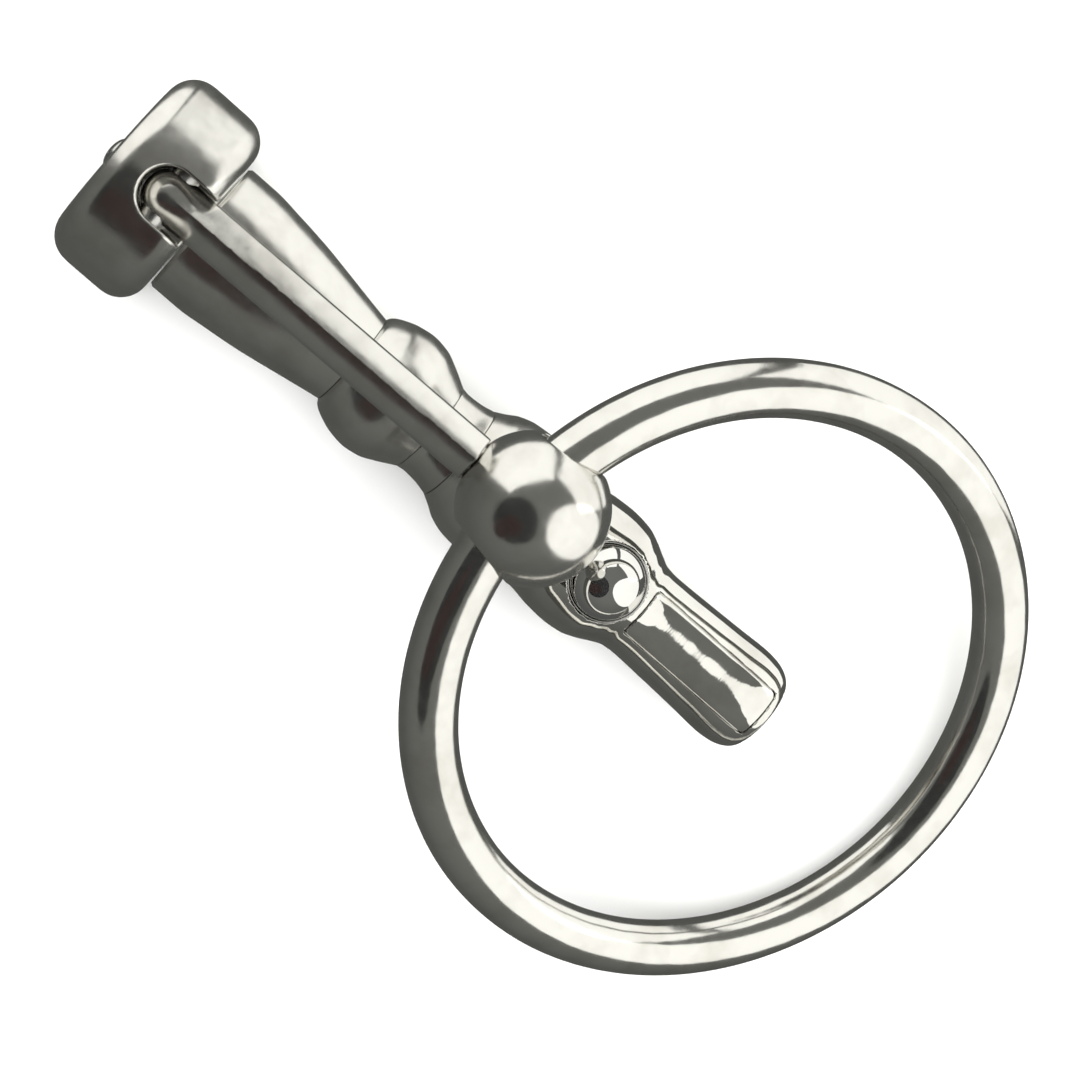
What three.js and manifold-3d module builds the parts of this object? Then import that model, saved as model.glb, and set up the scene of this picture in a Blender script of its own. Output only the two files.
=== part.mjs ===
// Radiator bleed key, in millimetres. +X runs from the fork head to the nose, +Y crosswise, +Z up out of
// the face the lever lies on. The key lies on its back: a turned body, a hinged lever with a ball end
// above it, and a pull ring threaded through the ball that drops to the surface around the nose.
import * as THREE from "three";
import { mergeVertices, toCreasedNormals } from "three/addons/utils/BufferGeometryUtils.js";
import Module from "manifold-3d";

const wasm = await Module();
wasm.setup();

// ---- driving dimensions -------------------------------------------------------------------------
// Written from the middle of the fork head on the body's own axis; PLACE moves the finished key.
const FIT = 0.05; // radial clearance of a piece that is pressed or screwed home
const SEAM = 0.1; // open seam between two pieces that butt on the body
const BACK_Z = -6.3; // the surface the key lies on

const HEAD = { x0: -4.3, x1: 4.3, halfY: 9.2, archZ: 3.5, foot: 3.0, edge: 1.2, corner: 2.9 };
const HEAD_TOP = HEAD.archZ + HEAD.halfY;
const SLOT = { halfY: 2.35, floor: 6.8, backX: 1.1 };
const PIN = { x: 1.1, z: 9.2, r: 1.2 };
const KNUCKLE_R = 2.15;
const LEVER = { halfWidth: 2.0, ridge: 2.1, brow: [0.95, 1.65], cheek: 0.55, belly: 1.9, side: 0.1, yaw: 0.5 };
const BALL = { reach: 37.34, z: 12.7, r: 6.3 };
const TENON = { r: 1.5, inner: 4.2 };
const RING = { r: 26.45, wire: 2.48, drop: 18.35, roll: 4.15, yaw: -0.45, slack: 0.29 };
const RING_HOLE = { r: 2.92, back: 0.8 }; // drilled a little on the lever's side of the ball's middle

const TIE = { r: 1.5, tailX: -5.1, endX: 42.6 };
const TIE_BORE = TIE.r + FIT;
const SPIGOT = { r: 3.0, x: 38.0 };
const SOCKET = { halfSide: 2.55, depth: 11.0 }; // takes the 5 mm square of a bleed screw
const TIP_X = 68.05;

const DETENT = { x: 48.95, z: 4.05, r: 3.4 };
const WELL = { r: 3.55, floor: -4.0 };
const KEEPER = { inner: 3.33, z0: 4.78, z1: 5.0 };
const COIL = { r: 2.4, wire: 0.35, z0: -3.6, z1: 1.1, turns: 4 };
const STRIP = { halfY: 2.25, x0: 53.1, x1: 67.0, floor: 3.35, corner: 0.5 };
const GROOVE_GAP = 0.15;

// Outlines of the turned pieces as [x, radius], from the head towards the nose.
const SHANK_LINE = [[4.4, 6.1], [4.7, 6.3], [7.2, 6.3], [10, 6.05], [13, 5.7], [16, 5.2], [18.5, 4.75], [20.85, 4.35]];
const BEAD_LINE = [[20.95, 4.35], [21.2, 4.75], [22.2, 5.35], [23.5, 5.8], [25, 6.0], [26.5, 5.8], [27.8, 5.25], [29.5, 4.35]];
const NECK_LINE = [[29.6, 4.3], [30.4, 4.2], [31.6, 4.28], [32.9, 4.55]];
const BOSS_LINE = [[33, 4.6], [33.9, 5.1], [34.9, 5.7], [36.4, 6.15], [38.2, 6.3], [40, 6.15], [41.6, 5.8], [42.8, 5.65]];
const NOSE_LINE = [
  [42.9, 5.65], [44.2, 5.75], [45.8, 6.0], [47.8, 6.12], [49.6, 5.95], [51, 5.45], [52.2, 4.85], [53.3, 4.4],
  [54.6, 4.28], [58, 4.38], [62, 4.55], [65, 4.7], [66.2, 4.6], [67, 4.4], [67.6, 4.1], [67.9, 3.85], [68.05, 3.7],
];

const ROUND = 36; // segments round a turned piece
const CLEAR_Z = 8; // above everything on the nose

// ---- solids -------------------------------------------------------------------------------------
function solid(geometry) {
  const plain = geometry.index ? geometry.toNonIndexed() : geometry;
  plain.deleteAttribute("normal");
  plain.deleteAttribute("uv");
  const merged = mergeVertices(plain, 1e-4);
  return new wasm.Manifold(
    new wasm.Mesh({
      numProp: 3,
      vertProperties: merged.attributes.position.array,
      triVerts: new Uint32Array(merged.index.array),
    }),
  );
}

function geometryOf(body) {
  const mesh = body.getMesh();
  const geometry = new THREE.BufferGeometry();
  geometry.setAttribute("position", new THREE.BufferAttribute(new Float32Array(mesh.vertProperties), 3));
  geometry.setIndex(new THREE.BufferAttribute(new Uint32Array(mesh.triVerts), 1));
  return toCreasedNormals(geometry, 0.6);
}

// A piece turned about the body's axis from its outline, with a bore right through it.
function turned(line, bore) {
  const first = line[0][0];
  const last = line[line.length - 1][0];
  const loop = [[first, bore], [last, bore], ...[...line].reverse(), [first, bore]];
  const points = loop.map(([x, r]) => new THREE.Vector2(r, x));
  return solid(new THREE.LatheGeometry(points.reverse(), ROUND).rotateZ(-Math.PI / 2));
}

// A solid turned about X from a line whose two ends lie on the axis.
function turnedSolid(line, segments = ROUND) {
  const points = line.map(([x, r]) => new THREE.Vector2(r, x));
  return solid(new THREE.LatheGeometry(points, segments).rotateZ(-Math.PI / 2));
}

function rodAlongX(x0, x1, r, segments = 28) {
  return turnedSolid([[x0, 0], [x0, r], [x1, r], [x1, 0]], segments);
}

function rodAlongZ(x, z0, z1, r, segments = 36) {
  const rod = new THREE.CylinderGeometry(r, r, z1 - z0, segments);
  return solid(rod.rotateX(Math.PI / 2).translate(x, 0, (z0 + z1) / 2));
}

function rodAlongY(x, z, length, r, segments = 28) {
  return solid(new THREE.CylinderGeometry(r, r, length, segments).translate(x, 0, z));
}

function block(x0, x1, y0, y1, z0, z1) {
  const box = new THREE.BoxGeometry(x1 - x0, y1 - y0, z1 - z0);
  return solid(box.translate((x0 + x1) / 2, (y0 + y1) / 2, (z0 + z1) / 2));
}

// Skins a row of closed outlines, each an array of Vector3 with the same count, and caps both ends.
function loft(outlines) {
  const count = outlines[0].length;
  const positions = outlines.flat().flatMap((p) => [p.x, p.y, p.z]);
  const index = [];
  for (let s = 0; s + 1 < outlines.length; s++) {
    for (let i = 0; i < count; i++) {
      const a = s * count + i;
      const b = s * count + ((i + 1) % count);
      index.push(a, b, b + count, a, b + count, a + count);
    }
  }
  const lastStart = (outlines.length - 1) * count;
  for (let i = 1; i + 1 < count; i++) {
    index.push(0, i + 1, i);
    index.push(lastStart, lastStart + i, lastStart + i + 1);
  }
  const geometry = new THREE.BufferGeometry();
  geometry.setAttribute("position", new THREE.Float32BufferAttribute(positions, 3));
  geometry.setIndex(index);
  return solid(geometry);
}

// ---- fork head ----------------------------------------------------------------------------------
// The head's front view, an arch on a flat foot, drawn in by `inset` for the soft edges, at one x.
function headOutline(x, inset) {
  const reach = HEAD.halfY - inset;
  const footR = HEAD.foot - inset * 0.8;
  const footZ = BACK_Z + inset + footR;
  const outline = [];
  const archSteps = 28;
  for (let i = 0; i <= archSteps; i++) {
    const turn = (i / archSteps) * Math.PI;
    outline.push([reach * Math.cos(turn), HEAD.archZ + reach * Math.sin(turn)]);
  }
  const footSteps = 5;
  for (const side of [-1, 1]) {
    for (let i = 0; i <= footSteps; i++) {
      const turn = ((side < 0 ? i : footSteps - i) / footSteps) * (Math.PI / 2);
      const y = side * (reach - footR + footR * Math.cos(turn));
      outline.push([y, footZ - footR * Math.sin(turn)]);
    }
  }
  return outline.map(([y, z]) => new THREE.Vector3(x, y, z));
}

// The head before it is slotted and bored: arched from the front, a round-cornered bar from above.
function headBlank() {
  const steps = 4;
  const stations = [];
  for (let i = 0; i <= 2 * steps + 1; i++) {
    const turn = (i <= steps ? i / steps : (i - 1) / steps) * (Math.PI / 2);
    const corner = i <= steps ? HEAD.x0 + HEAD.edge : HEAD.x1 - HEAD.edge;
    const inset = HEAD.edge * (1 - Math.sin(turn));
    stations.push(headOutline(corner - HEAD.edge * Math.cos(turn), inset));
  }
  const plan = bar(HEAD.x0, HEAD.x1, HEAD.halfY, HEAD.corner, BACK_Z - 1, HEAD_TOP + 1);
  return loft(stations).intersect(plan);
}

function forkHead() {
  const slotTop = HEAD_TOP + 1;
  return headBlank()
    .subtract(block(SLOT.backX, HEAD.x1 + 1, -SLOT.halfY, SLOT.halfY, SLOT.floor, slotTop))
    .subtract(rodAlongZ(SLOT.backX, SLOT.floor, slotTop, SLOT.halfY))
    .subtract(rodAlongY(PIN.x, PIN.z, 2 * HEAD.halfY + 2, PIN.r + FIT))
    .subtract(rodAlongX(HEAD.x0 - 1, HEAD.x1 + 1, TIE_BORE));
}

// A straight pin pressed through the head, its ends ground flush with the arch.
function hingePin() {
  return rodAlongY(PIN.x, PIN.z, 2 * HEAD.halfY + 2, PIN.r).intersect(headBlank());
}

// ---- lever and ball -----------------------------------------------------------------------------
const leverAxis = new THREE.Vector3(BALL.reach, 0, BALL.z - PIN.z);
const leverLength = leverAxis.length();
const leverSlope = Math.atan2(leverAxis.z, leverAxis.x);
const leverYaw = THREE.MathUtils.degToRad(LEVER.yaw);

// Places a geometry built along +X from the origin on the lever's own axis. The lever sits a little to one
// side of its slot and points half a degree off the body's line, which the hinge's play allows.
const toLever = new THREE.Matrix4()
  .makeTranslation(PIN.x, LEVER.side, PIN.z)
  .multiply(new THREE.Matrix4().makeRotationZ(leverYaw))
  .multiply(new THREE.Matrix4().makeRotationY(-leverSlope));
const ballAt = new THREE.Vector3(leverLength, 0, 0).applyMatrix4(toLever);

// The lever's section: a ridge along the top, two bevels down each side of it, a rounded belly below.
function leverOutline(x) {
  const { halfWidth: w, ridge, brow, cheek, belly } = LEVER;
  const ring = [[0, ridge], brow, [w, cheek]];
  const steps = 6;
  for (let i = 0; i <= steps; i++) {
    const turn = (i / steps) * Math.PI;
    ring.push([w * Math.cos(turn), -0.4 - (belly - 0.4) * Math.sin(turn)]);
  }
  ring.push([-w, cheek], [-brow[0], brow[1]]);
  return ring.map(([y, z]) => new THREE.Vector3(x, -y, z));
}

function leverArm() {
  const ends = [leverOutline(0.4), leverOutline(leverLength)];
  const rod = loft(ends.map((outline) => outline.map((p) => p.applyMatrix4(toLever))));
  const tenon = new THREE.CylinderGeometry(TENON.r, TENON.r, 6, 28).rotateZ(-Math.PI / 2);
  tenon.translate(leverLength - TENON.inner - 3, 0, 0).applyMatrix4(toLever);
  return sphere(new THREE.Vector3(PIN.x, LEVER.side, PIN.z), KNUCKLE_R, 32)
    .add(rod)
    .subtract(sphere(ballAt, BALL.r + SEAM, 36))
    .add(solid(tenon))
    .subtract(rodAlongY(PIN.x, PIN.z, 8, PIN.r + FIT));
}

function sphere(at, r, segments) {
  const ball = new THREE.SphereGeometry(r, segments, Math.round(segments * 0.62));
  return solid(ball.translate(at.x, at.y, at.z));
}

// The ring leaves the ball towards the nose, dropping to the surface; the wire through the ball runs
// along `cross`, a little off square because it sits loose in its hole.
const drop = THREE.MathUtils.degToRad(RING.drop);
const roll = THREE.MathUtils.degToRad(RING.roll);
const up = new THREE.Vector3(0, 0, 1);
const ringYaw = THREE.MathUtils.degToRad(RING.yaw);
const out = new THREE.Vector3(Math.cos(drop), 0, -Math.sin(drop)).applyAxisAngle(up, ringYaw);
const cross = new THREE.Vector3(0, 1, 0).applyAxisAngle(up, ringYaw).applyAxisAngle(out, roll);
const normal = new THREE.Vector3().crossVectors(out, cross);
const holeAt = ballAt.clone().addScaledVector(out, -RING_HOLE.back);
const toRing = new THREE.Matrix4().makeBasis(out, cross, normal).setPosition(holeAt);

function leverBall() {
  const ringHole = new THREE.CylinderGeometry(RING_HOLE.r, RING_HOLE.r, 4 * BALL.r, 36);
  const depth = BALL.r - TENON.inner + 2;
  const tenonHole = new THREE.CylinderGeometry(TENON.r + FIT, TENON.r + FIT, depth, 28).rotateZ(-Math.PI / 2);
  tenonHole.translate(leverLength - TENON.inner + SEAM - depth / 2, 0, 0).applyMatrix4(toLever);
  return sphere(ballAt, BALL.r, 40)
    .subtract(solid(ringHole.applyMatrix4(toRing)))
    .subtract(solid(tenonHole));
}

function pullRing() {
  const torus = new THREE.TorusGeometry(RING.r, RING.wire, 16, 68);
  return solid(torus.translate(RING.r - RING.slack, 0, 0).applyMatrix4(toRing));
}

// ---- body ---------------------------------------------------------------------------------------
// The rod that draws the body together: its tail is spun over behind the head.
function tieRod() {
  const { r, tailX, endX } = TIE;
  const tail = [[tailX, 0], [tailX + 0.15, 0.8], [tailX + 0.45, 1.25], [HEAD.x0 - 0.1, r]];
  return turnedSolid([...tail, [endX - 0.4, r], [endX, r - 0.4], [endX, 0]], 28);
}

function bossPiece() {
  const last = BOSS_LINE[BOSS_LINE.length - 1][0];
  const counterbore = rodAlongX(SPIGOT.x - SEAM, last + 1, SPIGOT.r + FIT, ROUND);
  return turned(BOSS_LINE, TIE_BORE).subtract(counterbore);
}

// Collar, detent well, barrel and square socket, all one piece with the spigot at its back.
function noseBarrel() {
  const back = NOSE_LINE[0][0];
  const spigotX = SPIGOT.x + SEAM;
  const line = [[spigotX, 0], [spigotX, SPIGOT.r - 0.3], [spigotX + 0.3, SPIGOT.r], [back, SPIGOT.r]];
  let barrel = turnedSolid([...line, ...NOSE_LINE, [TIP_X, 0]]);
  barrel = barrel.subtract(rodAlongZ(DETENT.x, WELL.floor, CLEAR_Z, WELL.r));
  barrel = barrel.subtract(rodAlongX(SPIGOT.x - 1, TIE.endX + SEAM, TIE_BORE));
  const side = SOCKET.halfSide;
  barrel = barrel.subtract(block(TIP_X - SOCKET.depth, TIP_X + 1, -side, side, -side, side));
  return barrel.subtract(stripShape(GROOVE_GAP, STRIP.floor - FIT));
}

// An upright bar along X with rounded corners in plan.
function bar(x0, x1, halfY, r, z0, z1) {
  const shape = new THREE.Shape();
  shape.moveTo(x0 + r, -halfY);
  shape.lineTo(x1 - r, -halfY);
  shape.absarc(x1 - r, -halfY + r, r, -Math.PI / 2, 0);
  shape.absarc(x1 - r, halfY - r, r, 0, Math.PI / 2);
  shape.absarc(x0 + r, halfY - r, r, Math.PI / 2, Math.PI);
  shape.absarc(x0 + r, -halfY + r, r, Math.PI, 1.5 * Math.PI);
  const slab = new THREE.ExtrudeGeometry(shape, { depth: z1 - z0, bevelEnabled: false, curveSegments: 6 });
  return solid(slab.translate(0, 0, z0));
}

// The strip's own bar, grown by `grow` all round in plan.
function stripShape(grow, z0) {
  return bar(STRIP.x0 - grow, STRIP.x1 + grow, STRIP.halfY + grow, STRIP.corner, z0, CLEAR_Z);
}

// The strip let into the top of the barrel, flush with the barrel's own round.
function noseStrip() {
  const barrelLine = NOSE_LINE.filter(([x]) => x > STRIP.x0 - 1.5);
  const round = turnedSolid([[barrelLine[0][0], 0], ...barrelLine, [TIP_X, 0]]);
  return stripShape(0, STRIP.floor).intersect(round);
}

function detentBall() {
  return sphere(new THREE.Vector3(DETENT.x, 0, DETENT.z), DETENT.r, 28);
}

function detentKeeper() {
  const ring = rodAlongZ(DETENT.x, KEEPER.z0, KEEPER.z1, WELL.r - FIT);
  return ring.subtract(rodAlongZ(DETENT.x, KEEPER.z0 - 1, KEEPER.z1 + 1, KEEPER.inner));
}

class Helix extends THREE.Curve {
  getPoint(t, target = new THREE.Vector3()) {
    const turn = t * COIL.turns * 2 * Math.PI;
    const z = COIL.z0 + (COIL.z1 - COIL.z0) * t;
    return target.set(DETENT.x + COIL.r * Math.cos(turn), COIL.r * Math.sin(turn), z);
  }
}

function detentSpring() {
  const wire = new THREE.Shape();
  wire.absarc(0, 0, COIL.wire, 0, 2 * Math.PI);
  const settings = { steps: COIL.turns * 14, extrudePath: new Helix(), curveSegments: 3, bevelEnabled: false };
  return solid(new THREE.ExtrudeGeometry(wire, settings));
}

// ---- assembly -----------------------------------------------------------------------------------
const FINISHES = {
  nickel: { color: 0xc9c8c2, roughness: 0.12, metalness: 1 },
  ball_chrome: { color: 0xd8d8d6, roughness: 0.04, metalness: 1 },
  pin_steel: { color: 0xb4b4b0, roughness: 0.25, metalness: 1 },
  spring_steel: { color: 0x8d8f90, roughness: 0.35, metalness: 1 },
};

const PIECES = [
  ["fork_head", forkHead(), "nickel"],
  ["hinge_pin", hingePin(), "pin_steel"],
  ["tie_rod", tieRod(), "pin_steel"],
  ["shank", turned(SHANK_LINE, TIE_BORE), "nickel"],
  ["bead", turned(BEAD_LINE, TIE_BORE), "nickel"],
  ["neck_sleeve", turned(NECK_LINE, TIE_BORE), "nickel"],
  ["boss", bossPiece(), "nickel"],
  ["nose_barrel", noseBarrel(), "nickel"],
  ["nose_strip", noseStrip(), "nickel"],
  ["detent_keeper", detentKeeper(), "pin_steel"],
  ["detent_ball", detentBall(), "ball_chrome"],
  ["detent_spring", detentSpring(), "spring_steel"],
  ["lever_arm", leverArm(), "nickel"],
  ["lever_ball", leverBall(), "nickel"],
  ["pull_ring", pullRing(), "nickel"],
];

const key = new THREE.Group();
key.name = "radiator_bleed_key";
for (const [name, body, finish] of PIECES) {
  const mesh = new THREE.Mesh(geometryOf(body), new THREE.MeshStandardMaterial(FINISHES[finish]));
  mesh.name = name;
  key.add(mesh);
}

// The row's origin is the middle of the key's footprint, on the surface it lies on.
const extent = new THREE.Box3().setFromObject(key);
const middle = extent.getCenter(new THREE.Vector3());
key.position.set(-middle.x, -middle.y, -extent.min.z);

export default key;
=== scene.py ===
"""Radiator bleed key: turned nickel-plated body with a fork head, a hinged lever ending in a ball,
a pull ring and a detent ball. Each piece is a finer mesh of one CAD node. Sizes are millimetres
about LOCAL, which is on the body's axis at the fork head, and become metres in mesh_object."""

import math

import bmesh
import bpy
import numpy as np
from mathutils import Matrix, Vector


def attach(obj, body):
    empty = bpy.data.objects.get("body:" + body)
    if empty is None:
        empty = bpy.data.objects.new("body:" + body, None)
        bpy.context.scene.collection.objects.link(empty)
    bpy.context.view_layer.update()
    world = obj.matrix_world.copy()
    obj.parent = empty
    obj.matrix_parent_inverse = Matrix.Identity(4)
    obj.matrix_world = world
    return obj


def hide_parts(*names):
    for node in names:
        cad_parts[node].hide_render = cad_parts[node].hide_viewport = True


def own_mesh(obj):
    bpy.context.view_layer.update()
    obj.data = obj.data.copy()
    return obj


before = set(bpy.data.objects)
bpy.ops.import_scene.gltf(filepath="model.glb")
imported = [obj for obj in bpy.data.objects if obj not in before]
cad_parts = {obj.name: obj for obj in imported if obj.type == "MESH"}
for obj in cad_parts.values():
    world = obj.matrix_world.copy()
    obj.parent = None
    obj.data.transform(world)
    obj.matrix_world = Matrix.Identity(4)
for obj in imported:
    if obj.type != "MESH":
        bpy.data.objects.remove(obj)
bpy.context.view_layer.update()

MM = 0.001

# ---- sizes of the key, mm -----------------------------------------------------------------------
FIT = 0.05
SEAM = 0.1
SEAM_CLOSED = 0.03  # how far each turned piece's rims reach into the seam beside them
BACK_Z = -6.3
HEAD = {
    "x0": -4.3, "x1": 4.3, "half_y": 9.2, "arch_z": 3.5, "foot_r": 3.0, "edge": 1.9, "corner": 2.9,
    "corner_blend": 0.3,
}
SLOT = {"half_y": 2.35, "floor": 6.8, "back_x": 1.1, "flare": 0.3}
PIN = {"x": 1.1, "z": 9.2, "r": 1.2, "half_y": 5.2}
KNUCKLE_R = 2.15
LEVER = {
    "half_w": 2.0, "ridge": 2.1, "brow": (0.95, 1.65), "cheek": 0.55, "belly": 1.9, "waist": -0.4,
    "side": 0.1, "yaw": math.radians(0.5), "root": 1.3,
}
BALL = {"reach": 37.34, "z": 12.7, "r": 6.3}
TENON = {"r": 1.5, "inner": 4.2, "length": 4.8}
RING = {
    "r": 26.45, "wire": 2.48, "slack": 0.29,
    "drop": math.radians(18.35), "roll": math.radians(4.15), "yaw": math.radians(-0.45),
}
RING_HOLE = {"r": 2.92, "back": 0.8}
TIE = {"r": 1.5, "tail_x": -5.1, "end_x": 42.6}
SPIGOT = {"r": 3.0, "x": 38.0}
SOCKET = {"half_side": 2.55, "depth": 11.0}
TIP_X = 68.05
DETENT = {"x": 48.95, "z": 4.05, "r": 3.4}
WELL = {"r": 3.52, "floor": -4.0}
KEEPER = {"inner": 3.33, "z0": 4.78, "z1": 5.0}
COIL = {"r": 2.4, "wire": 0.35, "z0": -3.6, "z1": 1.1, "turns": 4, "travel": 0.8}
STRIP = {"half_y": 2.25, "x0": 53.1, "x1": 67.0, "floor": 3.35, "corner": 0.5, "gap": 0.1}
SHANK_LINE = [
    (4.4, 6.1), (4.7, 6.3), (7.2, 6.3), (10, 6.05), (13, 5.7), (16, 5.2), (18.5, 4.75), (20.85, 4.35),
]
BEAD_LINE = [
    (20.95, 4.35), (21.2, 4.75), (22.2, 5.35), (23.5, 5.8), (25, 6.0), (26.5, 5.8), (27.8, 5.25),
    (29.5, 4.35),
]
NECK_LINE = [(29.6, 4.3), (30.4, 4.2), (31.6, 4.28), (32.9, 4.55)]
BOSS_LINE = [
    (33, 4.6), (33.9, 5.1), (34.9, 5.7), (36.4, 6.15), (38.2, 6.3), (40, 6.15), (41.6, 5.8),
    (42.8, 5.65),
]
NOSE_LINE = [
    (42.9, 5.65), (44.2, 5.75), (45.8, 6.0), (47.8, 6.12), (49.6, 5.95), (51, 5.45), (52.2, 4.85),
    (53.3, 4.4), (54.6, 4.28), (58, 4.38), (62, 4.55), (65, 4.7), (66.2, 4.6), (67, 4.4), (67.6, 4.1),
    (67.9, 3.85), (68.05, 3.7),
]
NOSE_R = 6.12  # the collar's widest radius

CELL = 0.17  # the grid that the implicit pieces are meshed on
FINE_CELL = 0.15  # the same for the lever
STRIP_CELL = 0.11  # and for the thin strip

# ---- camera, light and tones --------------------------------------------------------------------
CAMERA_MM = Vector((4.03, -1.08, 186.94))
CAMERA_TILT = math.radians(11.83)
CAMERA_ROLL = math.radians(41.07)
LENS_MM = 74.3
GREY_ABOVE = 0.17  # the room's brightness overhead
GREY_BELOW = 0.10  # and below the horizon
PANEL_TONE = 1.08  # how bright a panel looks in a reflection
PANEL_COLOUR = (1.0, 0.995, 0.955)
OVERHEAD = 4.4  # the wide light that whitens the floor
FLOOR_Z = -0.00005  # metres
STAGE_R = 3.0  # metres


# ---- mesh helpers -------------------------------------------------------------------------------
def local_origin():
    """Where the body's axis meets the middle of the fork head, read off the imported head, mm."""
    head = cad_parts["fork_head"]
    points = np.array([tuple(head.matrix_world @ v.co) for v in head.data.vertices]) / MM
    low, high = points.min(0), points.max(0)
    return Vector((low[0] - HEAD["x0"], (low[1] + high[1]) / 2, low[2] - BACK_Z))


LOCAL = local_origin()


def to_row(points):
    """Local millimetres to metres in the row frame."""
    return (np.asarray(points, float) + np.array(LOCAL)) * MM


def mesh_object(name, points, faces, normals=None):
    mesh = bpy.data.meshes.new(name)
    mesh.from_pydata(to_row(points).tolist(), [], [list(map(int, f)) for f in faces])
    mesh.validate()
    mesh.polygons.foreach_set("use_smooth", [True] * len(mesh.polygons))
    if normals is not None:
        mesh.normals_split_custom_set_from_vertices(np.asarray(normals, float).tolist())
    mesh.update()
    obj = bpy.data.objects.new(name, mesh)
    bpy.context.scene.collection.objects.link(obj)
    return obj


def smooth_line(line, per_span=8):
    """A monotone smooth curve through a turned outline's points, so that it has no corners."""
    x = np.array([p[0] for p in line], float)
    y = np.array([p[1] for p in line], float)
    step = np.diff(x)
    slope = np.diff(y) / step
    tangent = np.zeros(len(x))
    tangent[0] = slope[0]
    tangent[-1] = slope[-1]
    for i in range(1, len(x) - 1):
        if slope[i - 1] * slope[i] > 0:
            w0 = 2 * step[i] + step[i - 1]
            w1 = step[i] + 2 * step[i - 1]
            tangent[i] = (w0 + w1) / (w0 / slope[i - 1] + w1 / slope[i])
    out = []
    for i in range(len(step)):
        last = i == len(step) - 1
        for t in np.linspace(0, 1, per_span + 1)[: None if last else -1]:
            h00 = 2 * t**3 - 3 * t**2 + 1
            h10 = t**3 - 2 * t**2 + t
            h01 = -2 * t**3 + 3 * t**2
            h11 = t**3 - t**2
            ends = h00 * y[i] + h01 * y[i + 1]
            bend = h10 * step[i] * tangent[i] + h11 * step[i] * tangent[i + 1]
            out.append((x[i] + step[i] * t, ends + bend))
    return out


def line_radius(line):
    """The smooth outline's radius at any x, as a function for numpy arrays."""
    dense = np.array(smooth_line(line, 12))
    return lambda x: np.interp(x, dense[:, 0], dense[:, 1])


def filleted_loop(corners, radius, steps=4):
    """A closed [x, r] loop with some corners rounded. corners holds (x, r, round it or not)."""
    out = []
    count = len(corners)
    for i, (x, r, soft) in enumerate(corners):
        here = np.array([x, r], float)
        if not soft:
            out.append(tuple(here))
            continue
        before = np.array(corners[i - 1][:2], float) - here
        after = np.array(corners[(i + 1) % count][:2], float) - here
        cut = min(radius, 0.45 * np.linalg.norm(before), 0.45 * np.linalg.norm(after))
        a = here + before / np.linalg.norm(before) * cut
        b = here + after / np.linalg.norm(after) * cut
        for t in np.linspace(0, 1, steps + 1):
            out.append(tuple((1 - t) ** 2 * a + 2 * t * (1 - t) * here + t**2 * b))
    return out


def revolve(name, loop, segments=160):
    """Turns a closed [x, r] loop about the body's axis."""
    loop = np.array(loop, float)
    angles = np.linspace(0, 2 * math.pi, segments, endpoint=False)
    points = [(x, r * math.cos(a), r * math.sin(a)) for a in angles for x, r in loop]
    count = len(loop)
    faces = []
    for s in range(segments):
        t = (s + 1) % segments
        for i in range(count):
            j = (i + 1) % count
            faces.append((s * count + i, s * count + j, t * count + j, t * count + i))
    return outward(mesh_object(name, points, faces))


def outward(obj):
    """Welds coincident points and turns every face to look out of the solid."""
    work = bmesh.new()
    work.from_mesh(obj.data)
    bmesh.ops.remove_doubles(work, verts=work.verts, dist=1e-7)
    bmesh.ops.dissolve_degenerate(work, edges=work.edges, dist=1e-8)
    bmesh.ops.recalc_face_normals(work, faces=work.faces)
    work.to_mesh(obj.data)
    work.free()
    obj.data.update()
    return obj


def crease(obj, degrees=35):
    """Smooth shading with the edges sharper than this left crisp."""
    limit = math.radians(degrees)
    work = bmesh.new()
    work.from_mesh(obj.data)
    for edge in work.edges:
        edge.smooth = len(edge.link_faces) == 2 and edge.calc_face_angle(0.0) < limit
    work.to_mesh(obj.data)
    work.free()
    return obj


# ---- implicit solids: distance fields meshed with surface nets ----------------------------------
def smooth_max(a, b, k):
    """The larger of two fields, blended over k so that a cut has a rounded edge."""
    h = np.clip(0.5 + 0.5 * (a - b) / k, 0, 1)
    return b + (a - b) * h + k * h * (1 - h)


def smooth_min(a, b, k):
    return -smooth_max(-a, -b, k)


def rounded(a, b, radius):
    """Distance to a rounded corner, given the distances past its two inner lines."""
    return np.hypot(np.maximum(a, 0), np.maximum(b, 0)) + np.minimum(np.maximum(a, b), 0) - radius


def box_field(x, y, z, low, high):
    """Distance to an axis-aligned block, negative inside."""
    qx = np.abs(x - (low[0] + high[0]) / 2) - (high[0] - low[0]) / 2
    qy = np.abs(y - (low[1] + high[1]) / 2) - (high[1] - low[1]) / 2
    qz = np.abs(z - (low[2] + high[2]) / 2) - (high[2] - low[2]) / 2
    outside = np.sqrt(np.maximum(qx, 0) ** 2 + np.maximum(qy, 0) ** 2 + np.maximum(qz, 0) ** 2)
    return outside + np.minimum(np.maximum(qx, np.maximum(qy, qz)), 0)


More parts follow.
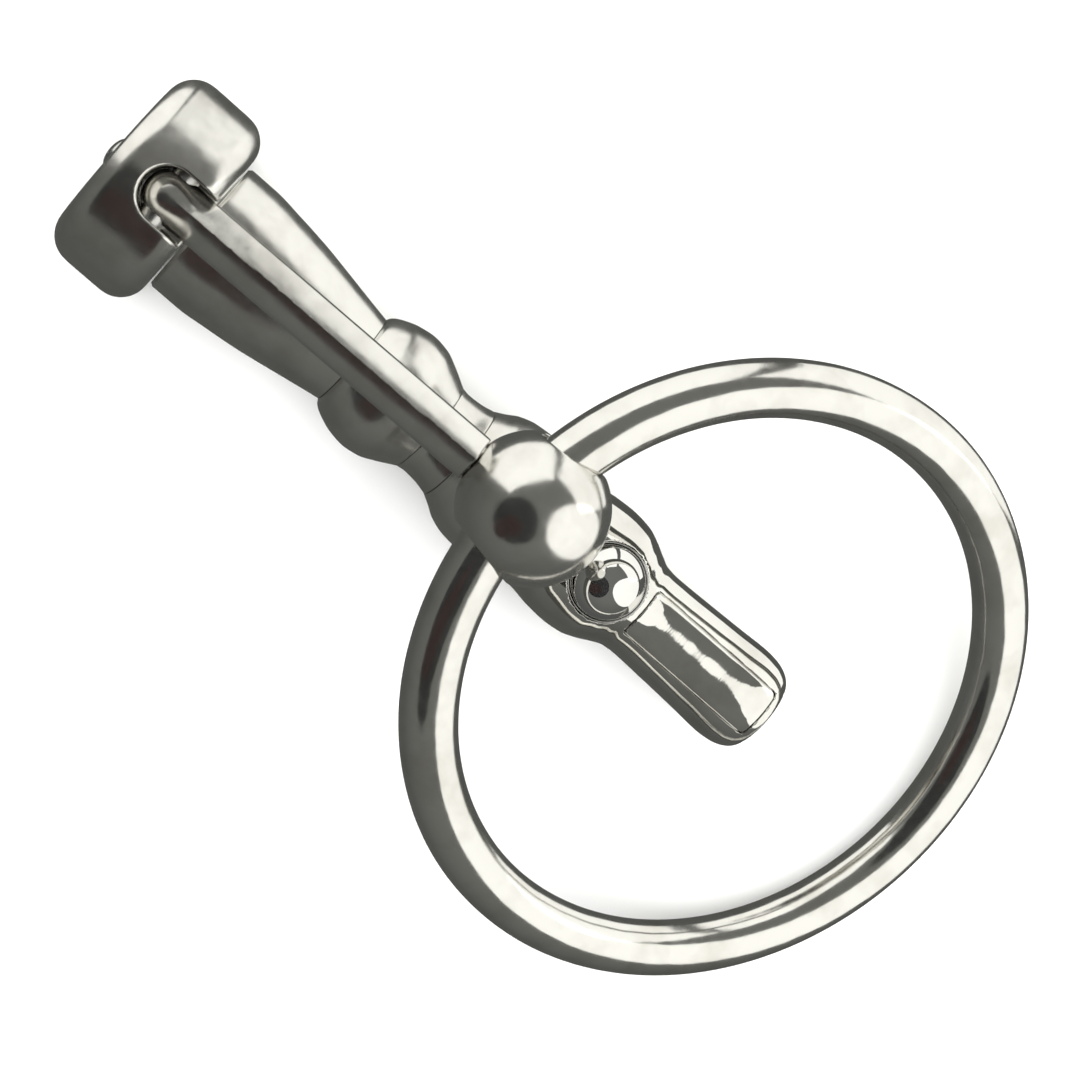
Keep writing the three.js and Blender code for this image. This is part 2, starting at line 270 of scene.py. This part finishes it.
def surface_net(field, low, high, cell):
    """Meshes field = 0 on a grid, with one point in each cell that the surface crosses."""
    axes = [np.arange(low[i] - 2 * cell, high[i] + 2 * cell, cell) for i in range(3)]
    grid = np.meshgrid(*axes, indexing="ij")
    value = field(*grid).astype(np.float32)
    inside = value < 0
    corners = [(i, j, k) for i in (0, 1) for j in (0, 1) for k in (0, 1)]
    shape = tuple(n - 1 for n in inside.shape)

    def at(array, i, j, k):
        return array[i : i + shape[0], j : j + shape[1], k : k + shape[2]]

    total = sum(at(inside, *c).astype(np.int8) for c in corners)
    crossed = (total > 0) & (total < 8)
    index = -np.ones(shape, np.int64)
    cells = np.argwhere(crossed)
    index[tuple(cells.T)] = np.arange(len(cells))
    points = np.zeros((len(cells), 3))
    weight = np.zeros(len(cells))
    for a in corners:
        for axis in range(3):
            if a[axis]:
                continue
            b = tuple(1 if i == axis else a[i] for i in range(3))
            va = value[tuple((cells + a).T)]
            vb = value[tuple((cells + b).T)]
            cut = (va < 0) != (vb < 0)
            t = np.where(cut, va / np.where(cut, va - vb, 1), 0)
            spot = cells + np.array(a) + t[:, None] * (np.array(b) - np.array(a))
            points += np.where(cut[:, None], spot, 0)
            weight += cut
    points = points / weight[:, None] * cell + np.array([axis[0] for axis in axes])
    faces = []
    for axis in range(3):
        u, v = [i for i in range(3) if i != axis]
        far = [slice(None)] * 3
        near = [slice(None)] * 3
        near[axis] = slice(0, -1)
        far[axis] = slice(1, None)
        change = inside[tuple(near)] != inside[tuple(far)]
        edges = np.argwhere(change)
        edges = edges[(edges[:, u] > 0) & (edges[:, v] > 0)]
        du = np.eye(3, dtype=int)[u]
        dv = np.eye(3, dtype=int)[v]
        quad = np.stack(
            [index[tuple((edges - off).T)] for off in (du * 0, du, du + dv, dv)], 1
        )
        flip = inside[tuple(edges.T)] == (axis == 1)
        quad[flip] = quad[flip][:, ::-1]
        faces.append(quad)
    return points, np.concatenate(faces)


def gradient(field, points, step=0.01):
    out = np.zeros_like(points)
    for axis in range(3):
        shift = np.zeros(3)
        shift[axis] = step
        ahead = field(*(points + shift).T)
        behind = field(*(points - shift).T)
        out[:, axis] = (ahead - behind) / (2 * step)
    return out


def implicit(name, field, low, high, cell, passes=4):
    """A closed mesh of field = 0: its points are moved onto the surface, its normals read from it."""
    points, faces = surface_net(field, low, high, cell)
    for _ in range(passes):
        slope = gradient(field, points)
        scale = np.maximum((slope**2).sum(1), 0.05)
        move = -(field(*points.T) / scale)[:, None] * slope
        length = np.linalg.norm(move, axis=1, keepdims=True)
        points += move * np.minimum(1, 0.5 * cell / np.maximum(length, 1e-9))
    slope = gradient(field, points)
    normals = slope / np.maximum(np.linalg.norm(slope, axis=1, keepdims=True), 1e-9)
    return mesh_object(name, points, faces, normals)


# ---- the pieces ---------------------------------------------------------------------------------
def turned_piece(name, line, bore):
    """A turned sleeve: its smooth outline outside, its bore inside, and both rims softly broken."""
    dense = smooth_line(line)
    dense[0] = (dense[0][0] - SEAM_CLOSED, dense[0][1])
    dense[-1] = (dense[-1][0] + SEAM_CLOSED, dense[-1][1])
    first, last = dense[0], dense[-1]
    loop = [(first[0], bore, False), (first[0], first[1], True)]
    loop += [(x, r, False) for x, r in dense[1:-1]]
    loop += [(last[0], last[1], True), (last[0], bore, False)]
    return crease(revolve(name, filleted_loop(loop, 0.07)))


def head_field(x, y, z):
    """The arched fork head: soft edges, slot, and the bores for the pin and the tie rod."""
    soft = HEAD["edge"]
    mid_x = (HEAD["x0"] + HEAD["x1"]) / 2
    half_x = (HEAD["x1"] - HEAD["x0"]) / 2
    arch = np.hypot(y, z - HEAD["arch_z"]) - HEAD["half_y"]
    foot = HEAD["foot_r"]
    qy = np.abs(y) - HEAD["half_y"] + foot
    qz = np.abs(z - (HEAD["arch_z"] + BACK_Z) / 2) - (HEAD["arch_z"] - BACK_Z) / 2 + foot
    lower = rounded(qy, qz, foot)
    wall = np.maximum(np.abs(y) - HEAD["half_y"], BACK_Z - z)
    front = np.where(z > HEAD["arch_z"], arch, np.where(z > HEAD["arch_z"] - foot, wall, lower))
    slab = np.abs(x - mid_x) - half_x
    body = rounded(front + soft, slab + soft, soft)
    corner = HEAD["corner"]
    cx, cy = slab + corner, np.abs(y) - HEAD["half_y"] + corner
    round_off = np.where((cx > 0) & (cy > 0), np.hypot(cx, cy), np.maximum(cx, cy)) - corner
    body = smooth_max(body, round_off, HEAD["corner_blend"])
    return np.maximum(head_cuts(x, y, z, body), TIE["r"] + FIT - np.hypot(y, z))


def head_cuts(x, y, z, body):
    """The slot with its softly flared mouth, and the pin's blind bore."""
    floor, half = SLOT["floor"], SLOT["half_y"]
    lane = box_field(x, y, z, (SLOT["back_x"], -half, floor), (HEAD["x1"] + 4, half, 20))
    back = np.maximum(np.hypot(x - SLOT["back_x"], y) - half, floor - z)
    body = smooth_max(body, -np.minimum(lane, back), SLOT["flare"])
    bore = np.hypot(x - PIN["x"], z - PIN["z"]) - PIN["r"] - FIT
    bore = np.maximum(bore, np.abs(y) - PIN["half_y"] - SEAM)
    return np.maximum(body, -bore)


def fork_head():
    low = (HEAD["x0"], -HEAD["half_y"], BACK_Z)
    high = (HEAD["x1"], HEAD["half_y"], HEAD["arch_z"] + HEAD["half_y"])
    return implicit("head_casting", head_field, low, high, CELL)


def hinge_pin():
    half, r = PIN["half_y"], PIN["r"]
    corners = [(-half, 0, False), (-half, r, True), (half, r, True), (half, 0, False)]
    pin = revolve("pin_pressed", filleted_loop(corners, 0.2), 64)
    turn_local(pin, Matrix.Rotation(math.pi / 2, 4, "Z"), (PIN["x"], 0, PIN["z"]))
    return crease(pin)


def turn_local(obj, rotation, place):
    """Turns a mesh built about the local X axis and puts it at `place`, mm."""
    centre = Matrix.Translation(LOCAL * MM)
    shift = Matrix.Translation(Vector(place) * MM)
    obj.data.transform(centre @ shift @ rotation @ centre.inverted())
    obj.data.update()


def tie_rod():
    r, tail, end = TIE["r"], TIE["tail_x"], TIE["end_x"]
    dome = HEAD["x0"] - 0.1
    loop = []
    for t in np.linspace(0, 1, 9):
        turn = t * math.pi / 2
        loop.append((dome + (tail - dome) * math.cos(turn), r * math.sin(turn)))
    loop += [(end - 0.4, r), (end - 0.1, r - 0.15), (end, r - 0.4), (end, 0)]
    return crease(revolve("tie_rod_fine", loop, 64))


LEVER_RISE = BALL["z"] - PIN["z"]
LEVER_LENGTH = math.hypot(BALL["reach"], LEVER_RISE)
LEVER_SLOPE = math.atan2(LEVER_RISE, BALL["reach"])
KNUCKLE_AT = Vector((PIN["x"], LEVER["side"], PIN["z"]))
LEVER_TURN = Matrix.Rotation(LEVER["yaw"], 3, "Z")
BALL_AT = KNUCKLE_AT + LEVER_TURN @ Vector((BALL["reach"], 0, LEVER_RISE))


def along_lever(x, y, z):
    """Coordinates along, across and up from the lever's own axis, from the pin."""
    dx, dy, dz = x - KNUCKLE_AT.x, y - KNUCKLE_AT.y, z - KNUCKLE_AT.z
    c, s = math.cos(LEVER["yaw"]), math.sin(LEVER["yaw"])
    forward, across = c * dx + s * dy, c * dy - s * dx
    c, s = math.cos(LEVER_SLOPE), math.sin(LEVER_SLOPE)
    return c * forward + s * dz, across, c * dz - s * forward


def distance_to(point, x, y, z):
    return np.sqrt((x - point.x) ** 2 + (y - point.y) ** 2 + (z - point.z) ** 2)


def lever_section(y, w):
    """Distance to the lever's section: a ridge, two bevels down each side and a rounded belly."""
    ridge, brow, cheek = LEVER["ridge"], LEVER["brow"], LEVER["cheek"]
    half, belly = LEVER["half_w"], LEVER["belly"]
    side = np.abs(y)
    lines = [((0, ridge), brow), (brow, (half, cheek))]
    field = side - half
    for (y0, w0), (y1, w1) in lines:
        n = np.array([w0 - w1, y1 - y0], float)
        n /= np.linalg.norm(n)
        field = smooth_max(field, (side - y0) * n[0] + (w - w0) * n[1], 0.35)
    waist = LEVER["waist"]
    under = np.hypot(side, (w - waist) * half / (belly + waist)) - half
    return np.where(w < waist, np.maximum(field, under), field)


def lever_field(x, y, z):
    """Knuckle, rod and tenon, cut short of the ball and bored for the pin."""
    u, v, w = along_lever(x, y, z)
    rod = smooth_max(lever_section(v, w), np.maximum(LEVER["root"] - u, u - LEVER_LENGTH), 0.8)
    body = smooth_min(distance_to(KNUCKLE_AT, x, y, z) - KNUCKLE_R, rod, 1.0)
    body = smooth_max(body, BALL["r"] + SEAM - distance_to(BALL_AT, x, y, z), 0.18)
    end = LEVER_LENGTH - TENON["inner"]
    tenon = np.maximum(np.hypot(v, w) - TENON["r"], np.maximum(end - TENON["length"] - u, u - end))
    body = np.minimum(body, tenon)
    return np.maximum(body, PIN["r"] + FIT - np.hypot(x - PIN["x"], z - PIN["z"]))


def lever_arm():
    low = (PIN["x"] - KNUCKLE_R, -LEVER["half_w"], PIN["z"] - KNUCKLE_R)
    high = (
        BALL_AT.x - TENON["inner"] + 0.3,
        LEVER["half_w"] + BALL_AT.y,
        BALL["z"] + LEVER["ridge"] + 0.3,
    )
    return implicit("lever_bar", lever_field, low, high, FINE_CELL)


# The ring leaves the ball towards the nose and drops to the surface, rolled a little off level.
TURN = Matrix.Rotation(RING["yaw"], 3, "Z")
OUT = TURN @ Vector((math.cos(RING["drop"]), 0, -math.sin(RING["drop"])))
CROSS = Matrix.Rotation(RING["roll"], 3, OUT) @ (TURN @ Vector((0, 1, 0)))
NORMAL = OUT.cross(CROSS)
HOLE_AT = BALL_AT - RING_HOLE["back"] * OUT


def ball_field(x, y, z):
    """The lever's ball, with the ring's hole flared at both mouths and the tenon's hole."""
    ball = distance_to(BALL_AT, x, y, z) - BALL["r"]
    dx, dy, dz = x - HOLE_AT.x, y - HOLE_AT.y, z - HOLE_AT.z
    along = dx * CROSS.x + dy * CROSS.y + dz * CROSS.z
    away = np.sqrt(np.maximum(dx**2 + dy**2 + dz**2 - along**2, 0))
    body = smooth_max(ball, RING_HOLE["r"] - away, 0.5)
    u, v, w = along_lever(x, y, z)
    tenon = np.maximum(np.hypot(v, w) - TENON["r"] - FIT, u - LEVER_LENGTH + TENON["inner"] - SEAM)
    return np.maximum(body, -tenon)


def lever_ball():
    centre = np.array(BALL_AT)
    return implicit("ball_end", ball_field, centre - BALL["r"], centre + BALL["r"], CELL)


def pull_ring():
    """Round wire swept round the ring, with the faint high and low spots that bending leaves."""
    around, across = 288, 56
    points = []
    for i in range(around):
        a = 2 * math.pi * i / around
        radial = -math.cos(a) * OUT + math.sin(a) * CROSS
        hub = HOLE_AT + (RING["r"] - RING["slack"]) * OUT + RING["r"] * radial
        wobble = 0.010 * math.sin(5 * a + 0.7) + 0.007 * math.sin(11 * a + 2.1)
        for j in range(across):
            b = 2 * math.pi * j / across
            out = math.cos(b) * radial + math.sin(b) * NORMAL
            points.append(tuple(hub + (RING["wire"] - 0.015 + wobble * math.cos(2 * b)) * out))
    faces = []
    for i in range(around):
        k = (i + 1) % around
        for j in range(across):
            m = (j + 1) % across
            faces.append((i * across + j, k * across + j, k * across + m, i * across + m))
    return outward(mesh_object("ring_wire", points, faces))


def round_field(line):
    """Distance-like field of the round that a turned outline sweeps, for numpy arrays."""
    radius = line_radius(line)
    dense = np.linspace(line[0][0], line[-1][0], 400)
    slope = np.gradient(radius(dense), dense)

    def field(x, y, z):
        xc = np.clip(x, line[0][0], line[-1][0])
        lean = np.interp(xc, dense, slope)
        return (np.hypot(y, z) - radius(xc)) / np.sqrt(1 + np.minimum(lean**2, 4))

    return field


NOSE_ROUND = round_field(NOSE_LINE)


def strip_plan(x, y, grow):
    """Distance to the strip's plan, a bar with rounded corners, grown by `grow`."""
    r = STRIP["corner"]
    mid = (STRIP["x0"] + STRIP["x1"]) / 2
    qx = np.abs(x - mid) - (STRIP["x1"] - STRIP["x0"]) / 2 - grow + r
    qy = np.abs(y) - STRIP["half_y"] - grow + r
    return rounded(qx, qy, r)


def nose_field(x, y, z):
    """Collar, detent well, barrel and square socket, with the spigot that enters the boss."""
    back = NOSE_LINE[0][0]
    body = smooth_max(NOSE_ROUND(x, y, z), np.maximum(back - x, x - TIP_X), 0.2)
    radial = np.hypot(x - DETENT["x"], y)
    ends = np.maximum(SPIGOT["x"] + SEAM - x, x - back - 1)
    body = np.minimum(body, np.maximum(np.hypot(y, z) - SPIGOT["r"], ends))
    well = np.maximum(radial - WELL["r"], WELL["floor"] - z)
    body = smooth_max(body, -well, 0.08)
    tie = np.maximum(np.hypot(y, z) - TIE["r"] - FIT, x - TIE["end_x"] - SEAM)
    body = np.maximum(body, -tie)
    side = SOCKET["half_side"]
    socket = box_field(x, y, z, (TIP_X - SOCKET["depth"], -side, -side), (TIP_X + 5, side, side))
    body = smooth_max(body, -socket, 0.3)
    recess = np.maximum(strip_plan(x, y, STRIP["gap"]), STRIP["floor"] - FIT - z)
    return smooth_max(body, -recess, 0.06)


def nose_barrel():
    low = (SPIGOT["x"], -NOSE_R, -NOSE_R)
    high = (TIP_X, NOSE_R, NOSE_R)
    return implicit("nose_turning", nose_field, low, high, CELL)


def strip_field(x, y, z):
    body = np.maximum(strip_plan(x, y, 0.0), STRIP["floor"] - z)
    return smooth_max(body, NOSE_ROUND(x, y, z), 0.08)


def nose_strip():
    low = (STRIP["x0"], -STRIP["half_y"], STRIP["floor"])
    high = (STRIP["x1"], STRIP["half_y"], 4.8)
    return implicit("strip_inlay", strip_field, low, high, STRIP_CELL)


def detent_ball():
    """A hard ball meshed as a subdivided cube pushed out to its sphere, so it has no poles."""
    count = 40
    grid = np.tan(np.linspace(-1, 1, count + 1) * math.pi / 4)
    points, faces = [], []
    for axis in range(3):
        for side in (-1, 1):
            start = len(points)
            for a in grid:
                for b in grid:
                    p = np.zeros(3)
                    p[axis], p[(axis + 1) % 3], p[(axis + 2) % 3] = side, a * side, b
                    p *= DETENT["r"] / np.linalg.norm(p)
                    points.append((p[0] + DETENT["x"], p[1], p[2] + DETENT["z"]))
            for i in range(count):
                for j in range(count):
                    k = start + i * (count + 1) + j
                    faces.append((k, k + count + 1, k + count + 2, k + 1))
    return outward(mesh_object("ball_polished", points, faces))


def detent_keeper():
    inner, outer = KEEPER["inner"], WELL["r"] - FIT
    z0, z1 = KEEPER["z0"], KEEPER["z1"]
    corners = [(z0, inner, True), (z0, outer, True), (z1, outer, True), (z1, inner, True)]
    keeper = revolve("keeper_ring", filleted_loop(corners, 0.08), 128)
    turn_local(keeper, Matrix.Rotation(-math.pi / 2, 4, "Y"), (DETENT["x"], 0, 0))
    return crease(keeper)


def detent_spring():
    """Spring wire swept along its helix."""
    steps, across = 4 * 64, 12
    points = []
    for i in range(steps + 1):
        t = i / steps
        a = t * COIL["turns"] * 2 * math.pi
        radial = Vector((math.cos(a), math.sin(a), 0))
        rise = COIL["z0"] + (COIL["z1"] - COIL["z0"]) * t
        hub = Vector((DETENT["x"], 0, rise)) + COIL["r"] * radial
        for j in range(across):
            b = 2 * math.pi * j / across
            out = math.cos(b) * radial + math.sin(b) * Vector((0, 0, 1))
            points.append(tuple(hub + COIL["wire"] * out))
    faces = []
    for i in range(steps):
        for j in range(across):
            m = (j + 1) % across
            here, ahead = i * across, (i + 1) * across
            faces.append((here + j, here + m, ahead + m, ahead + j))
    faces.append(tuple(range(across)))
    faces.append(tuple(steps * across + j for j in reversed(range(across))))
    return crease(outward(mesh_object("spring_coil", points, faces)))


# ---- materials ----------------------------------------------------------------------------------
class Nodes:
    """Small helpers for building one material's node tree."""

    def __init__(self, name):
        self.material = bpy.data.materials.new(name)
        self.material.use_nodes = True
        self.tree = self.material.node_tree
        self.shader = self.tree.nodes["Principled BSDF"]
        self.shader.inputs["Metallic"].default_value = 1.0
        self.coords = self.tree.nodes.new("ShaderNodeTexCoord").outputs["Object"]

    def link(self, a, b):
        self.tree.links.new(a, b)

    def scaled(self, scale):
        node = self.tree.nodes.new("ShaderNodeMapping")
        node.inputs["Scale"].default_value = scale
        self.link(self.coords, node.inputs["Vector"])
        return node.outputs["Vector"]

    def noise(self, scale, detail=3.0, stretch=(1, 1, 1)):
        node = self.tree.nodes.new("ShaderNodeTexNoise")
        node.inputs["Scale"].default_value = scale
        node.inputs["Detail"].default_value = detail
        self.link(self.scaled(stretch), node.inputs["Vector"])
        return node.outputs["Fac"]

    def spread(self, value, low, high, start=0.3, stop=0.7):
        """Maps a noise value to a range."""
        node = self.tree.nodes.new("ShaderNodeMapRange")
        node.inputs["From Min"].default_value = start
        node.inputs["From Max"].default_value = stop
        node.inputs["To Min"].default_value = low
        node.inputs["To Max"].default_value = high
        self.link(value, node.inputs["Value"])
        return node.outputs["Result"]

    def math(self, kind, a, b):
        node = self.tree.nodes.new("ShaderNodeMath")
        node.operation = kind
        for socket, value in zip(node.inputs, (a, b)):
            if isinstance(value, (int, float)):
                socket.default_value = value
            else:
                self.link(value, socket)
        return node.outputs[0]

    def ramp(self, value, stops):
        node = self.tree.nodes.new("ShaderNodeValToRGB")
        elements = node.color_ramp.elements
        while len(elements) < len(stops):
            elements.new(0.5)
        for element, (position, colour) in zip(elements, stops):
            element.position = position
            element.color = (*colour, 1)
        self.link(value, node.inputs["Fac"])
        return node.outputs["Color"]

    def bump(self, height, distance, strength=1.0):
        node = self.tree.nodes.new("ShaderNodeBump")
        node.inputs["Strength"].default_value = strength
        node.inputs["Distance"].default_value = distance
        self.link(height, node.inputs["Height"])
        self.link(node.outputs["Normal"], self.shader.inputs["Normal"])


def plated(name, light, dark, rough, ripple, lines):
    """Polished plate: colour drifting between two tones, haze from handling in the roughness, fine
    turning lines, and a slow ripple in the surface that makes straight reflections waver."""
    n = Nodes(name)
    cloud = n.noise(260, 4)
    n.link(n.ramp(cloud, [(0.3, dark), (0.55, light), (0.8, light)]), n.shader.inputs["Base Color"])
    haze = n.spread(n.noise(900, 5), rough[0], rough[1])
    n.link(haze, n.shader.inputs["Roughness"])
    slow = n.math("MULTIPLY", n.noise(330, 1), ripple)
    fine = n.math("MULTIPLY", n.noise(2600, 2, (lines, 0.35, 0.35)), 0.018)
    n.bump(n.math("ADD", slow, fine), 0.00012)
    return n.material


NICKEL = ((0.80, 0.79, 0.755), (0.70, 0.685, 0.645))
CHROME = ((0.84, 0.835, 0.82), (0.77, 0.765, 0.75))
STEEL = ((0.66, 0.655, 0.64), (0.52, 0.515, 0.50))
SPRING = ((0.50, 0.51, 0.52), (0.38, 0.385, 0.39))


def make_materials():
    """Each metal's two tones, its range of roughness, its ripple and how close its lines lie."""
    return {
        "soft": plated("plate_soft", *NICKEL, (0.19, 0.27), 0.5, 2.0),
        "ball": plated("plate_ball", *NICKEL, (0.14, 0.20), 0.5, 2.0),
        "mirror": plated("plate_mirror", *NICKEL, (0.035, 0.075), 0.35, 2.0),
        "wire": plated("plate_wire", *NICKEL, (0.12, 0.18), 0.5, 1.0),
        "chrome": plated("ball_mirror", *CHROME, (0.02, 0.045), 0.12, 1.0),
        "steel": plated("pin_turned", *STEEL, (0.18, 0.30), 0.4, 6.0),
        "spring": plated("spring_drawn", *SPRING, (0.28, 0.4), 0.3, 1.0),
    }


# ---- assembly -----------------------------------------------------------------------------------
def finish_piece(obj, material, body, slot, *nodes):
    obj.data.materials.clear()
    obj.data.materials.append(material)
    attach(obj, body)
    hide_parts(*nodes)


def build_key():
    m = make_materials()
    bore = TIE["r"] + FIT
    finish_piece(fork_head(), m["soft"], "body", "polished_nickel", "fork_head")
    finish_piece(hinge_pin(), m["steel"], "body", "pin_steel", "hinge_pin")
    finish_piece(tie_rod(), m["steel"], "body", "pin_steel", "tie_rod")
    shank = turned_piece("shank_turning", SHANK_LINE, bore)
    finish_piece(shank, m["soft"], "body", "polished_nickel", "shank")
    bead = turned_piece("bead_turning", BEAD_LINE, bore)
    finish_piece(bead, m["soft"], "body", "polished_nickel", "bead")
    neck = turned_piece("neck_turning", NECK_LINE, bore)
    finish_piece(neck, m["soft"], "body", "polished_nickel", "neck_sleeve")
    boss = turned_piece("boss_turning", BOSS_LINE, SPIGOT["r"] + FIT)
    finish_piece(boss, m["soft"], "body", "polished_nickel", "boss")
    finish_piece(nose_barrel(), m["mirror"], "body", "mirror_nickel", "nose_barrel")
    finish_piece(nose_strip(), m["mirror"], "body", "mirror_nickel", "nose_strip")
    finish_piece(detent_keeper(), m["steel"], "body", "pin_steel", "detent_keeper")
    finish_piece(detent_ball(), m["chrome"], "detent", "ball_chrome", "detent_ball")
    finish_piece(lever_arm(), m["soft"], "lever", "polished_nickel", "lever_arm")
    finish_piece(lever_ball(), m["ball"], "lever", "polished_nickel", "lever_ball")
    finish_piece(pull_ring(), m["wire"], "ring", "ring_nickel", "pull_ring")
    spring = detent_spring()
    finish_piece(spring, m["spring"], "body", "spring_steel", "detent_spring")
    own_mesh(spring)


# ---- stage, light and camera --------------------------------------------------------------------
def flat_material(name, colour, strength=None):
    """The floor's faintly mottled pale finish, the cards' dark one, or the backdrop's own glow."""
    n = Nodes(name)
    n.shader.inputs["Metallic"].default_value = 0.0
    n.shader.inputs["Roughness"].default_value = 0.9
    tint = n.ramp(n.noise(12, 2), [(0.3, tuple(c * 0.985 for c in colour)), (0.7, colour)])
    n.link(tint, n.shader.inputs["Base Color"])
    if strength is not None:
        n.link(tint, n.shader.inputs["Emission Color"])
        n.shader.inputs["Emission Strength"].default_value = strength
    return n.material


def circle(radius, sides=96):
    angles = np.linspace(0, 2 * math.pi, sides, endpoint=False)
    return [(radius * math.cos(a), radius * math.sin(a)) for a in angles]


def staged(name, points, faces, material):
    """An object that belongs to the stage and not to the key. Points in metres."""
    mesh = bpy.data.meshes.new(name)
    mesh.from_pydata(points, [], faces)
    mesh.materials.append(material)
    obj = bpy.data.objects.new(name, mesh)
    bpy.context.scene.collection.objects.link(obj)
    return obj


def hide_from(obj, *kinds):
    for kind in kinds:
        setattr(obj, "visible_" + kind, False)


def disc(name, centre, facing, radius, material):
    """A flat round card facing along `facing`, metres."""
    facing = Vector(facing).normalized()
    spin = facing.to_track_quat("Z", "Y").to_matrix()
    rim = [tuple(Vector(centre) + spin @ Vector((x, y, 0))) for x, y in circle(radius)]
    return staged(name, rim, [list(range(len(rim)))], material)


FOCUS = (LOCAL + BALL_AT) * MM  # the lights stand round the lever's ball


def panel(name, direction, distance, size, shape="RECTANGLE"):
    """A soft light panel `distance` metres from the ball, facing it, as bright as PANEL_TONE says."""
    direction = Vector(direction).normalized()
    lamp = bpy.data.lights.new(name, "AREA")
    lamp.shape = shape
    lamp.color = PANEL_COLOUR
    lamp.size, lamp.size_y = size
    fill = math.pi / 4 if shape == "ELLIPSE" else 1
    lamp.energy = PANEL_TONE * math.pi * size[0] * size[1] * fill
    obj = bpy.data.objects.new(name, lamp)
    obj.rotation_mode = "QUATERNION"
    obj.rotation_quaternion = direction.to_track_quat("Z", "Y")
    obj.location = FOCUS + direction * distance
    obj.visible_camera = False
    bpy.context.scene.collection.objects.link(obj)
    return obj


def build_world():
    """Grey room: darker below the horizon than above it."""
    world = bpy.data.worlds.new("room")
    bpy.context.scene.world = world
    world.use_nodes = True
    tree = world.node_tree
    back = tree.nodes["Background"]
    coords = tree.nodes.new("ShaderNodeTexCoord")
    split = tree.nodes.new("ShaderNodeSeparateXYZ")
    rise = tree.nodes.new("ShaderNodeMapRange")
    rise.inputs["From Min"].default_value = -0.5
    rise.inputs["From Max"].default_value = 0.7
    ramp = tree.nodes.new("ShaderNodeValToRGB")
    ramp.color_ramp.elements[0].color = (GREY_BELOW * 0.98, GREY_BELOW, GREY_BELOW * 0.95, 1)
    ramp.color_ramp.elements[1].color = (GREY_ABOVE * 0.99, GREY_ABOVE, GREY_ABOVE * 0.94, 1)
    tree.links.new(coords.outputs["Generated"], split.inputs["Vector"])
    tree.links.new(split.outputs["Z"], rise.inputs["Value"])
    tree.links.new(rise.outputs["Result"], ramp.inputs["Fac"])
    tree.links.new(ramp.outputs["Color"], back.inputs["Color"])


def build_stage():
    """A pale floor, and a pale wall round it that only the camera sees."""
    pale = flat_material("pale_surface", (0.93, 0.93, 0.925))
    floor = disc("floor", (0, 0, FLOOR_Z), (0, 0, 1), STAGE_R, pale)
    hide_from(floor, "glossy", "shadow")
    wall_material = flat_material("pale_wall", (0.9, 0.9, 0.895), 0.95)
    ring = circle(STAGE_R)
    sides = len(ring)
    points = [(x, y, FLOOR_Z) for x, y in ring] + [(x, y, STAGE_R) for x, y in ring]
    faces = [(i, sides + i, sides + (i + 1) % sides, (i + 1) % sides) for i in range(sides)]
    wall = staged("backdrop", points, faces, wall_material)
    hide_from(wall, "glossy", "diffuse", "shadow", "transmission")


def card(name, centre, toward, distance, radius, material):
    """A dark round card that shows only in reflections, `distance` metres from `centre`."""
    toward = Vector(toward).normalized()
    obj = disc(name, centre + toward * distance, -toward, radius, material)
    hide_from(obj, "camera", "diffuse", "shadow", "transmission")


def build_lights():
    """Three panels round the ball, a wide soft light overhead, and the dark things it reflects."""
    panel("panel_far_left", (-0.808, 0.577, 0.109), 0.40, (0.62, 0.62))
    panel("panel_far_right", (0.352, 0.936, -0.017), 0.40, (0.46, 0.54))
    panel("panel_near_right", (0.868, 0.19, 0.457), 0.16, (0.21, 0.33), "ELLIPSE")
    top = bpy.data.lights.new("overhead", "SUN")
    top.energy = OVERHEAD
    top.angle = math.radians(100)
    sun = bpy.data.objects.new("overhead", top)
    sun.rotation_euler = (math.radians(4), math.radians(-3), 0)
    sun.visible_glossy = False
    bpy.context.scene.collection.objects.link(sun)
    dark = flat_material("dark_card", (0.012, 0.013, 0.013))
    brown = flat_material("brown_card", (0.020, 0.009, 0.008))
    card("dark_card", FOCUS, (-0.294, -0.494, 0.825), 0.16, 0.105, dark)
    card("brown_card", FOCUS, (-0.264, -0.645, 0.728), 0.152, 0.040, brown)
    card("brown_card_low", LOCAL * MM, (0.216, -0.69, 0.69), 0.07, 0.016, brown)


def build_camera():
    """Looks down on the key, leaning towards the nose, and rolled so that the key slants."""
    forward = Vector((math.sin(CAMERA_TILT), 0, -math.cos(CAMERA_TILT)))
    along = Vector((math.cos(CAMERA_TILT), 0, math.sin(CAMERA_TILT)))
    across = Vector((0, 1, 0))
    right = math.cos(CAMERA_ROLL) * along + math.sin(CAMERA_ROLL) * across
    up = -math.sin(CAMERA_ROLL) * along + math.cos(CAMERA_ROLL) * across
    data = bpy.data.cameras.new("view")
    data.sensor_width = 36
    data.lens = LENS_MM
    data.clip_start, data.clip_end = 0.005, 20
    obj = bpy.data.objects.new("view", data)
    basis = Matrix((right, up, -forward)).transposed().to_4x4()
    obj.matrix_world = Matrix.Translation((LOCAL + CAMERA_MM) * MM) @ basis
    bpy.context.scene.collection.objects.link(obj)
    bpy.context.scene.camera = obj


build_key()
build_world()
build_stage()
build_lights()
build_camera()
bpy.context.scene.view_settings.view_transform = "Standard"
